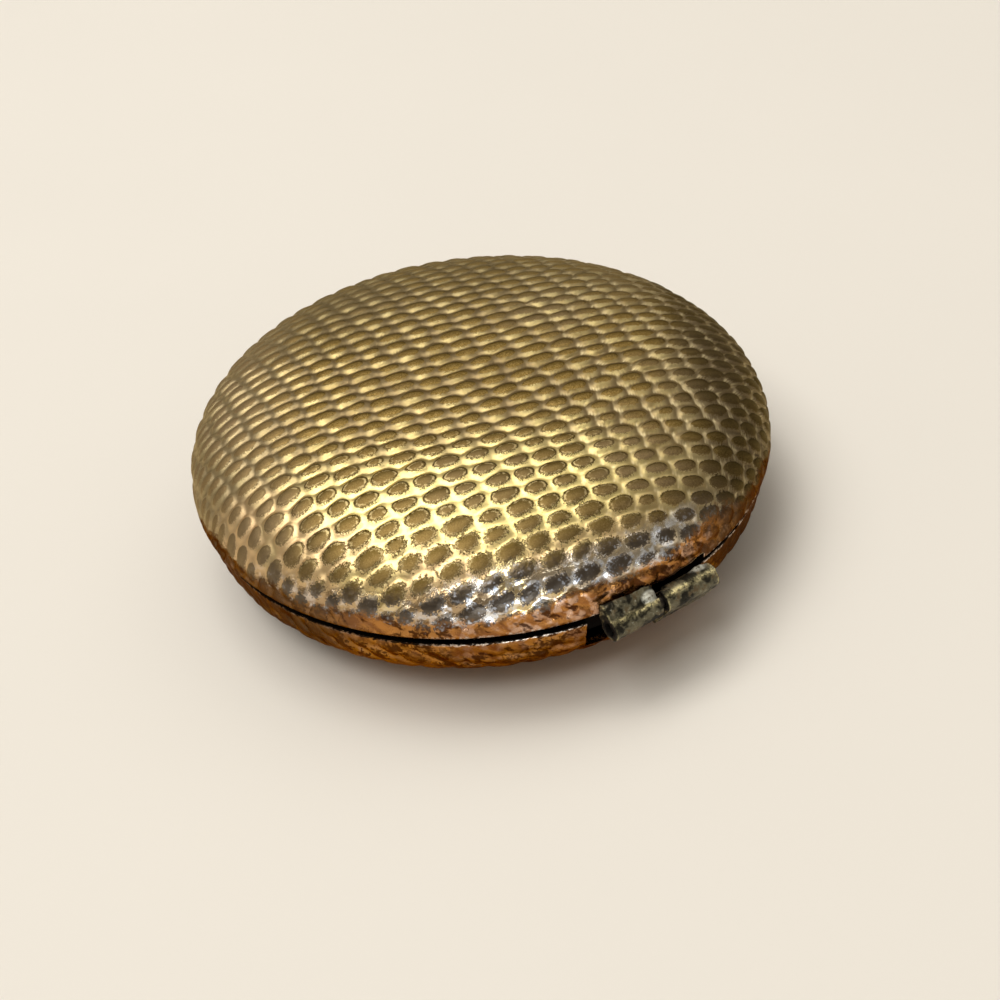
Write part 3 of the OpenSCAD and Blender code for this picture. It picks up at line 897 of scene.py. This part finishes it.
def gilt_and_bare(f, z, level, patina):
    """The gilding with its patina, and the bare near rim with its painted silvery glints."""
    # Painted glints on the bare near rim
    glint = f.step(f.add(z.blot, f.times(z.fine, 0.1)), 0.51, 0.63)
    glint = f.times(glint, f.step(f.apart(z.u, 7), 16, 9, 0.3, 1))
    bare = f.coated(f.blend(f.step(z.u, -8, 10), bare_left, bare_right), (glint, glint_white))
    return f.coated(
        gilding(f, z),
        (f.times(z.bare, f.step(z.cloud, 0.35, 0.55, 0.35, 1)), bare),
        (patina, patina_colour(f, z, level, patina)),
        (f.times(glint, z.bare, f.step(z.speck, 0.5, 0.66, 0, 0.75)), glint_blue),
    )


print("patina ready")

# %% [markdown]
# Where the gilding is gone, the copper-toned sheet shows, with dark grime and streaks, which are noise
# stretched at a slant down the flanks. Its orange is partly the copper and partly a painted reflection
# of a warm wooden table. On the sides and at the back its colour is darker all over. On the lid's near
# rim it is rubbed rosy, with pale pink blotches that are partly a painted sheen.

# %% The copper under the gilding, with a painted reflection
# Copper tones; their orange is partly the copper and partly a painted reflection of a warm wooden table
copper_dark = (0.155, 0.04, 0.004)
copper_bright = (0.47, 0.195, 0.032)
copper_clean = (0.51, 0.235, 0.044)
copper_rosy = (0.5, 0.25, 0.11)
# Pale pink blotches: rubbed copper, and partly a painted sheen
copper_rubbed_sheen = (0.62, 0.39, 0.26)
copper_grime = (0.045, 0.012, 0.004)
# Darker on the sides and at the back
copper_side_tone = (0.105, 0.064, 0.036)
wipe_slant = (35, 151)


def copper_colour(f, z, patina, rosy_share):
    streak = f.noise(0.85, 3, 0.55, f.stretched(2.6, 1.5, 0.8, *wipe_slant))
    darkened = f.noise(1.3, 4, 0.58, f.stretched(1.8, 1.2, 0.8, *wipe_slant))
    darkened = f.step(darkened, 0.535, 0.62, 0, 0.9)
    # Pale pink blotches of rubbed copper, partly a painted sheen
    rosy = f.times(f.step(z.blot, 0.48, 0.64), f.step(z.wide_cloud, 0.4, 0.54))
    # Some patches of patina are still there
    kept = f.times(patina, f.most(f.step(z.cloud, 0.42, 0.55), z.right))
    kept = f.times(kept, f.step(z.speck, 0.4, 0.54, 0.25, 0.9))
    return f.coated(
        f.blend(f.step(streak, 0.34, 0.66), copper_dark, copper_bright),
        (f.step(z.cloud, 0.4, 0.62, 0, 0.6), copper_clean),
        (0.35 * rosy_share, copper_rosy),
        (f.times(rosy, rosy_share), copper_rubbed_sheen),
        (f.most(darkened, kept), copper_grime),
        (f.times(z.sides, f.step(z.cloud, 0.35, 0.6, 0.95, 0.7)), copper_side_tone),
    )


print("copper ready")

# %% [markdown]
# The last coats are at the seam. Its lip is rubbed bright in the near middle, with a painted highlight
# along it, and the outer edge and the fold behind it are painted black, as painted shade in the seam.
# Patina is rougher than gilding, and worn metal smoother. A shallow bump gives the patina its thickness
# and the rims their small dents, too fine for the mesh.

# %% The worn gilding
# The lip, rubbed bright and with a painted highlight along it
lip_rubbed_highlight = (0.72, 0.6, 0.5)
# Painted shade: black at the seam's outer edge and on the fold behind it
edge_shade_black = (0.01, 0.007, 0.005)
fold_shade_black = (0.016, 0.011, 0.008)
gilt_sheen = (1.0, 0.88, 0.62)
copper_sheen = (0.85, 0.48, 0.25)
side_sheen = (0.46, 0.33, 0.24)


def seam_lip(f, z, lip_reach):
    lip_at = f.wavering(z.from_edge, z.speck, 0.9)
    lip = f.times(f.step(lip_at, lip_reach, lip_reach - 0.14), f.step(z.blot, 0.4, 0.54))
    middle = f.times(f.step(z.u, -12, -3, 0.1, 1), f.step(z.v, -12, -22, 0.2, 1))
    return f.times(lip, middle)


def worn_gilding(name, copper_reach, lip_reach, rosy_share):
    """The finish of a shell; its copper and its bright lip reach so far in from the edge."""
    f = Finish(name, Metallic=1.0)
    z = wear_and_light_zones(f, copper_reach)
    level = patina_reach(f, z)
    patina = f.step(level, -0.03, 0.05)
    # Painted shade: the outer edge at the seam and the fold behind it are painted black
    edge_shade = f.step(f.wavering(z.from_edge, f.noise(0.55, 4, 0.65), 1.5), 0.16, 0.06)
    behind = f.stored("behind_edge")
    fold_shade = f.times(f.step(behind, 0.7, 1.5), f.step(behind, 9, 7.5))
    colour = f.coated(
        gilt_and_bare(f, z, level, patina),
        (z.copper, copper_colour(f, z, patina, rosy_share)),
        (seam_lip(f, z, lip_reach), lip_rubbed_highlight),
        (f.times(edge_shade, 0.95), edge_shade_black),
        (fold_shade, fold_shade_black),
    )
    rims = f.most(z.copper, z.bare)
    rough = f.add(0.32, z.pool, -0.07)
    for mask, share in ((patina, 0.14), (z.left, 0.05), (z.fine, 0.14), (fold_shade, 0.4), (rims, -0.16)):
        rough = f.add(rough, mask, share)
    dents = f.times(rims, f.add(f.noise(1.6, 1, 0.4), z.blot))
    relief = f.add(f.times(z.fine, 0.6), patina, 0.35)
    relief = f.times(relief, f.step(rims, 0, 1, 1, 0.35))
    normal = f.bump(f.add(relief, dents, 1.6), 0.05)
    sheen = f.blend(z.copper, gilt_sheen, f.blend(z.sides, copper_sheen, side_sheen))
    return f.finish(Base_Color=colour, Roughness=rough, Normal=normal, Specular_Tint=sheen)


lid_gilding = worn_gilding("lid_worn_gilding", copper_reach=2.5, lip_reach=0.7, rosy_share=0.9)
base_gilding = worn_gilding("base_worn_gilding", copper_reach=30, lip_reach=0.28, rosy_share=0.25)
settle(lid_skin, "lid_skin", "lid", lid_gilding, "lid_shell")
settle(base_skin, "base_skin", "base", base_gilding, "base_shell")

# %% [markdown]
# Each half of the hinge was cut from sheet, rolled round the pin and soldered on by hand. Both are
# battered and tarnished, and a bevelled block would look far too new. So each one starts from its
# engineering shape, gets a lump of solder, and is then remeshed and dented by about a tenth of a
# millimetre. The lid's half also gets the step where its rolled sheet ends.

# %% The rolled hinge leaves
pin = next(j for j in frame["joints"] if j["name"] == "lid_hinge")["pos_m"]
pin_y = pin[1] / MM
pin_z = pin[2] / MM
leaf_rounding = 0.05
remesh_grid = 0.085
dent_depth = 0.13
# Each wave of the dents has a direction and a pace
dent_waves = (
    ((0.8, 0.5, 0.3), 3.1),
    ((-0.4, 0.7, 0.6), 4.7),
    ((0.2, -0.6, 0.8), 6.9),
    ((0.9, 0.1, -0.4), 9.7),
)
# The wear and a painted highlight follow the crest of the roll, at this turn about the pin
crest_turn = 62
crest_spread = 13


def solder_lump(piece, centre, size):
    """Joins a flattened ball of solder to the piece."""
    bpy.ops.object.select_all(action="DESELECT")
    where = [c * MM for c in centre]
    bpy.ops.mesh.primitive_ico_sphere_add(subdivisions=3, radius=MM, location=where, scale=size)
    bpy.ops.object.transform_apply(location=True, rotation=True, scale=True)
    lump = bpy.context.object
    only(piece)
    lump.select_set(True)
    bpy.ops.object.join()
    return piece


def largest_part(piece):
    """Keeps the largest loose part of a mesh and throws the rest away."""
    only(piece)
    bpy.ops.mesh.separate(type="LOOSE")
    parts = sorted(bpy.context.selected_objects, key=lambda part: len(part.data.polygons))
    for scrap in parts[:-1]:
        bpy.data.objects.remove(scrap)
    return only(parts[-1])


def battered(piece, salt):
    """Remeshes a piece into small even faces and dents it inwards."""
    modified(piece, "REMESH", mode="VOXEL", voxel_size=remesh_grid * MM)
    piece = largest_part(piece)
    modified(piece, "SMOOTH", factor=0.5, iterations=2)
    at = points_of(piece)
    flat = np.zeros(len(at) * 3)
    piece.data.vertices.foreach_get("normal", flat)
    waves = [np.sin(at @ np.array(way) * pace + salt + k) for k, (way, pace) in enumerate(dent_waves)]
    dent = dent_depth * (0.5 + 0.5 * (sum(waves) / len(waves)))
    move_points(piece, at - flat.reshape(-1, 3) * dent[:, None])
    only(piece)
    bpy.ops.object.shade_smooth()
    return piece


def wear_and_light_marks(piece, solder_at, solder_reach):
    """Stores for each vertex: the wear on the crest of the roll and on its ends, which also carries a
    painted highlight; the painted shade in the bore and on the end faces; and the solder.
    """
    at = points_of(piece)
    turn = np.degrees(np.arctan2(at[:, 2] - pin_z, at[:, 1] - pin_y))
    outer = np.hypot(at[:, 1] - pin_y, at[:, 2] - pin_z)
    crest_wear_highlight = np.exp(-((turn - crest_turn) / crest_spread) ** 2) * (outer > 1.0) * (outer < 1.6)
    ends = np.minimum(abs(at[:, 0] - at[:, 0].min()), abs(at[:, 0] - at[:, 0].max()))
    edge = np.exp(-((ends - 0.14) / 0.09) ** 2) * (outer > 1.05)
    # The crest and the rims at the ends carry wear and a painted highlight
    store(piece, "crest_wear_highlight", np.maximum(crest_wear_highlight, 0.7 * edge))
    # Painted shade: the bore inside the roll and the end faces are marked to be painted black
    store(piece, "bore", np.maximum(outer < 0.95, 0.9 * (1 - eased(ends, 0.05, 0.11)) * (outer < 1.6)))
    away = np.linalg.norm((at - np.array(solder_at)) / np.array(solder_reach), axis=1)
    store(piece, "solder", 1 - eased(away, 0.8, 1.3))
    return piece


def aged_leaf(piece, solder_at, lump, solder_reach, salt):
    """A hinge leaf with its solder, dents, wear and painted light."""
    solder_lump(piece, solder_at, lump)
    return wear_and_light_marks(battered(piece, salt), solder_at, solder_reach)


roll_end = block(centre=(3.8, 32.79, 11.1), size=(7, 1.85, 1), tilt=-42.2)
lid_leaf = cut_with(rounded_copy("hinge_lid_leaf", leaf_rounding), roll_end)
lid_leaf = aged_leaf(lid_leaf, solder_at=(1.75, 32.75, 10.35), lump=(0.75, 0.5, 0.42),
                     solder_reach=(0.8, 0.6, 0.6), salt=2)
base_leaf = rounded_copy("hinge_base_leaf", leaf_rounding)
base_leaf = aged_leaf(base_leaf, solder_at=(-4.6, 32.2, 10), lump=(0.9, 0.35, 0.3),
                      solder_reach=(1, 0.6, 0.6), salt=5)
print("hinge leaves", len(lid_leaf.data.polygons), len(base_leaf.data.polygons), "faces")

# %% [markdown]
# The hinge is nearly black in its clouds of tarnish and olive between them. It has a little gilding on
# the crest of the roll that is also a painted highlight, glints where it was knocked, and pale solder.
# Its bore and the end faces of the roll are painted black, as painted shade. Its clouds are large, so
# that a knuckle isn't evenly speckled.

# %% The tarnished hinge finish
tarnish_dark = (0.034, 0.03, 0.02)
tarnish_olive = (0.2, 0.178, 0.112)
tarnish_rust = (0.13, 0.08, 0.035)
tarnish_pale = (0.36, 0.33, 0.22)
tarnish_black = (0.018, 0.016, 0.011)
# Rubbed gilding on the crest, which is also a painted highlight
crest_gilt_and_highlight = (0.86, 0.74, 0.38)
knock_glint = (0.86, 0.84, 0.74)
solder_dull = (0.34, 0.34, 0.28)
solder_pale = (0.74, 0.73, 0.64)
# Painted shade in the bore and on the end faces
bore_shade_black = (0.012, 0.01, 0.008)


def tarnish():
    f = Finish("tarnished_hinge", Metallic=0.9)
    fine = f.noise(0.13, 4, 0.7)
    speck = f.noise(0.36, 4, 0.65)
    cloud = f.noise(1.6, 3, 0.6)
    # The crest's rubbed gilding, which is also a painted highlight
    crest_wear_and_glint = f.times(f.stored("crest_wear_highlight"), f.step(f.add(fine, speck), 0.86, 1.04))
    crest_wear_and_glint = f.times(crest_wear_and_glint, f.step(cloud, 0.4, 0.54, 0.2, 1))
    solder = f.times(f.stored("solder"), f.step(speck, 0.34, 0.46))
    colour = f.coated(
        f.blend(f.step(cloud, 0.34, 0.66), tarnish_dark, tarnish_olive),
        (f.step(f.noise(0.8, 3, 0.6), 0.52, 0.64, 0, 0.7), tarnish_rust),
        (f.step(speck, 0.54, 0.66, 0, 0.5), tarnish_pale),
        (f.step(cloud, 0.5, 0.42, 0, 0.85), tarnish_black),
        (crest_wear_and_glint, crest_gilt_and_highlight),
        (f.step(f.add(speck, f.times(fine, 0.5)), 0.95, 1.03), knock_glint),
        (solder, f.blend(fine, solder_dull, solder_pale)),
        (f.stored("bore"), bore_shade_black),
    )
    rough = f.add(f.add(0.42, fine, 0.25), crest_wear_and_glint, -0.25)
    normal = f.bump(f.add(speck, fine, 0.6), 0.09)
    return f.finish(Base_Color=colour, Roughness=rough, Normal=normal)


hinge_tarnish = tarnish()
settle(lid_leaf, "rolled_lid_leaf", "lid", hinge_tarnish, "hinge_lid_leaf")
settle(base_leaf, "rolled_base_leaf", "base", hinge_tarnish, "hinge_base_leaf")

# %% [markdown]
# Inside, nothing was embossed: the frames are smooth gilded rings, the bezels are brighter, and
# the glasses are silvered. They show when the lid is opened. Each finish is a short function,
# with the marks of making and age: turned and drawn lines, and specks where the silver goes.

# %% Plain finishes
# Painted shade: the raised band within the seam, and the frame further down near the shell, are painted
# black, as the seam keeps them in shadow
band_starts = (30.1 * MM, 30.3 * MM)
band_ends = (31.9 * MM, 31.6 * MM)
band_height = ((seam_z + 0.9) * MM, (seam_z + 0.5) * MM)
under_starts = (27.6 * MM, 28.0 * MM)
under_height = ((seam_z - 0.8) * MM, (seam_z - 1.3) * MM)
gilt_stain = (0.3, 0.19, 0.07)
seam_shade_black = (0.006, 0.004, 0.003)
rust_brown = (0.16, 0.08, 0.04)
silver_grey = (0.8, 0.82, 0.82)
silver_clear = (0.88, 0.9, 0.9)
lost_silver = (0.1, 0.075, 0.05)
card_dark = (0.34, 0.26, 0.18)
card_pale = (0.5, 0.41, 0.31)


def satin_gilding(name, low, high, dull, seam_shade):
    """Smooth gilding with faint turning marks, tarnish clouds and painted shade in the seam."""
    f = Finish(name, Metallic=1.0)
    speck = f.noise(0.5, 4, 0.65)
    scratch = f.noise(0.9, 2, 0.6, f.stretched(1, 0.07, 1))
    out, height = f.around_axis()
    # Painted shade on the band within the seam and further down
    band = f.times(f.step(out, *band_starts), f.step(height, *band_height), f.step(out, *band_ends))
    under = f.times(f.step(out, *under_starts), f.step(height, *under_height))
    darkened = f.times(f.most(band, under), seam_shade)
    colour = f.coated(
        f.blend(f.noise(4, 3, 0.55), low, high),
        (f.step(speck, 0.6, 0.7, 0, 0.6), gilt_stain),
        (darkened, seam_shade_black),
    )
    rough = f.add(f.add(dull, speck, 0.1), scratch, 0.14)
    normal = f.bump(f.add(scratch, speck, 0.4), 0.006)
    return f.finish(Base_Color=colour, Roughness=f.add(rough, darkened, 0.4), Normal=normal)


def drawn_steel(name, tone):
    """Steel wire or strip with fine lines along it and a little rust."""
    f = Finish(name, Metallic=1.0)
    line = f.noise(0.25, 2, 0.5, f.stretched(12, 1, 1))
    rust = f.step(f.noise(0.5, 4, 0.7), 0.62, 0.7, 0, 0.7)
    steel = f.blend(f.noise(0.8, 3, 0.6), tuple(0.6 * c for c in tone), tone)
    colour = f.blend(rust, steel, rust_brown)
    return f.finish(Base_Color=colour, Roughness=f.add(0.25, line, 0.2), Normal=f.bump(line, 0.005))


def silvered_glass(name, radius):
    """Mirror glass; its silver is going in brown specks near the rim."""
    f = Finish(name, Metallic=1.0)
    out, _ = f.around_axis()
    rim = f.step(out, (radius - 2.4) * MM, (radius - 0.9) * MM)
    loss = f.step(f.add(f.noise(0.6, 5, 0.7), rim, 0.16), 0.7, 0.76)
    haze = f.noise(9, 4, 0.6)
    colour = f.blend(loss, f.blend(haze, silver_grey, silver_clear), lost_silver)
    return f.finish(Base_Color=colour, Roughness=f.add(f.times(loss, 0.4), haze, 0.03))


def pasteboard(name):
    """Grey-brown card with short fibres."""
    f = Finish(name, Roughness=0.9)
    fibre = f.noise(0.5, 4, 0.7, f.stretched(1, 0.35, 1))
    return f.finish(Base_Color=f.blend(fibre, card_dark, card_pale), Normal=f.bump(fibre, 0.03))


frame_gilding = satin_gilding("frame_gilding", (0.62, 0.44, 0.16), (0.8, 0.61, 0.27), 0.24, 1.0)
bezel_gilding = satin_gilding("bezel_gilding", (0.74, 0.56, 0.25), (0.86, 0.69, 0.36), 0.14, 1.0)
catch_gilding = satin_gilding("catch_gilding", (0.52, 0.38, 0.17), (0.78, 0.6, 0.3), 0.26, 0.0)
pin_steel = drawn_steel("pin_steel", (0.52, 0.51, 0.5))
aged_pin = drawn_steel("aged_pin_steel", (0.13, 0.11, 0.09))
spring_steel = drawn_steel("spring_steel", (0.46, 0.48, 0.52))
mirror_silver = silvered_glass("mirror_silver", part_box("lid_mirror")[1].x / MM)
card_paper = pasteboard("card_paper")
print("plain finishes ready")

# %% [markdown]
# The inner pieces are turned, stamped and cut to simple shapes, which the engineering model holds
# already. So each is copied from its node, and its edges are rounded by the last width of its row.

# %% Dress the inner pieces
in_both_halves = (
    ("frame", "gilt_frame", frame_gilding, 0.12),
    ("mirror_ring", "gilt_bezel", bezel_gilding, 0.14),
    ("mirror", "mirror_glass", mirror_silver, 0.03),
    ("mirror_card", "backing_card", card_paper, 0.03),
)
single_pieces = (
    ("catch_keeper", "lid", "gilt_frame", frame_gilding, 0.05),
    ("catch_bracket", "base", "gilt_frame", frame_gilding, 0.05),
    ("catch_rivets", "base", "pin_steel", pin_steel, 0.06),
    ("hinge_pin", "base", "pin_steel", aged_pin, 0.08),
    ("thumb_piece", "catch", "gilt_catch", catch_gilding, 0.1),
    ("catch_spring", "base", "spring_steel", spring_steel, 0.03),
)
paired_pieces = [
    (half + "_" + part, half, *rest)
    for part, *rest in in_both_halves
    for half in ("lid", "base")
]
dressed = {}
for node, body, slot, finish, width in (*paired_pieces, *single_pieces):
    dressed[node] = settle(rounded_copy(node, width), node + "_dressed", body, finish, node)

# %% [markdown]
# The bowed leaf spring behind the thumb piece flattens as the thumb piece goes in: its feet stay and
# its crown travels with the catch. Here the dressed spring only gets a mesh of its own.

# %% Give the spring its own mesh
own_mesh(dressed["catch_spring"])

# %% [markdown]
# The floor is plain pale paper, with a cloudiness too faint to show as a pattern in the metal.

# %% Floor finish
floor = Finish("studio_paper", Roughness=0.85)
floor_tone = floor.blend(floor.noise(60, 2.0), floor_colour, tuple(c * 0.97 for c in floor_colour))
studio.data.materials.append(floor.finish(Base_Color=floor_tone))
print("floor colour", floor_colour)

# %% [markdown]
# Last, the view layer is brought up to date.

# %% Bring the view layer up to date
bpy.context.view_layer.update()
